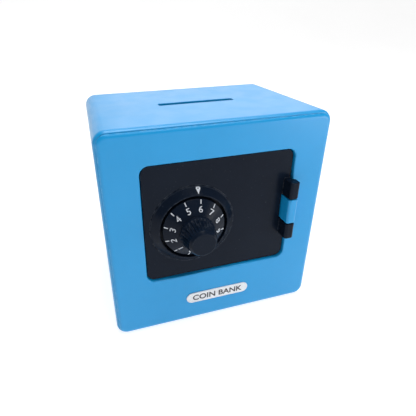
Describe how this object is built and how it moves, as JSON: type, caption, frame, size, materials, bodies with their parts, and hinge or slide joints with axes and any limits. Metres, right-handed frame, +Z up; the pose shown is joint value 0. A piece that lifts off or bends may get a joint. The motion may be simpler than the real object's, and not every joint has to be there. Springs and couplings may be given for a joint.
{
  "type": "toy safe coin bank",
  "caption": "Boxy moulded toy safe with a coin slot on top, a recessed black door on a side hinge, a numbered dial with a fluted knob, and a wheel lock and springy latch behind the door.",
  "frame": {"origin": "middle of the footprint, on the surface that the bank stands on", "axes": "+Z up, the door and dial face -Y, +X to the right of somebody facing the door (the hinge side)"},
  "size_m": [0.11, 0.0941, 0.111],
  "materials": {
    "blue_plastic": "satin moulded",
    "black_plastic": "satin moulded",
    "ivory_plastic": "moulded acetal",
    "grey_plastic": "moulded",
    "steel": "zinc plated",
    "silver_label": "silvered sticker"
  },
  "bodies": {
    "case": {"front_frame": "blue_plastic", "body_shell": "blue_plastic", "case_screw_1": "steel", "case_screw_2": "steel", "case_screw_3": "steel", "case_screw_4": "steel", "name_label": "silver_label", "hinge_pin": "steel"},
    "door": {"door_panel": "black_plastic", "lock_cover": "black_plastic", "cover_screw_1": "steel", "cover_screw_2": "steel", "cover_screw_3": "steel", "cover_screw_4": "steel", "latch_arm": "ivory_plastic", "latch_screw_1": "steel", "latch_screw_2": "steel", "spacer_washer_1": "ivory_plastic", "spacer_washer_2": "ivory_plastic"},
    "dial": {"number_dial": "black_plastic", "dial_knob": "black_plastic", "drive_wheel": "grey_plastic", "spindle_washer": "steel", "spindle_screw": "steel"},
    "middle_wheel": {"tumbler_wheel_2": "ivory_plastic"},
    "inner_wheel": {"tumbler_wheel_1": "ivory_plastic"}
  },
  "joints": [
    {"name": "door_swing", "type": "hinge", "parent": "case", "child": "door", "pos_m": [0.0361, -0.0421, 0.0629], "axis": [0, 0, 1], "range_deg": [0, 120], "deforming": ["latch_arm"]},
    {"name": "dial_turn", "type": "hinge", "parent": "door", "child": "dial", "pos_m": [-0.0136, -0.0406, 0.061], "axis": [0, 1, 0], "continuous": true},
    {"name": "middle_wheel_turn", "type": "hinge", "parent": "door", "child": "middle_wheel", "pos_m": [-0.0136, -0.0291, 0.061], "axis": [0, 1, 0], "continuous": true},
    {"name": "inner_wheel_turn", "type": "hinge", "parent": "door", "child": "inner_wheel", "pos_m": [-0.0136, -0.0323, 0.061], "axis": [0, 1, 0], "continuous": true}
  ],
  "couplings": [
    {"joint": "middle_wheel_turn", "follows": "dial_turn", "ratio": 1},
    {"joint": "inner_wheel_turn", "follows": "dial_turn", "ratio": 1}
  ]
}
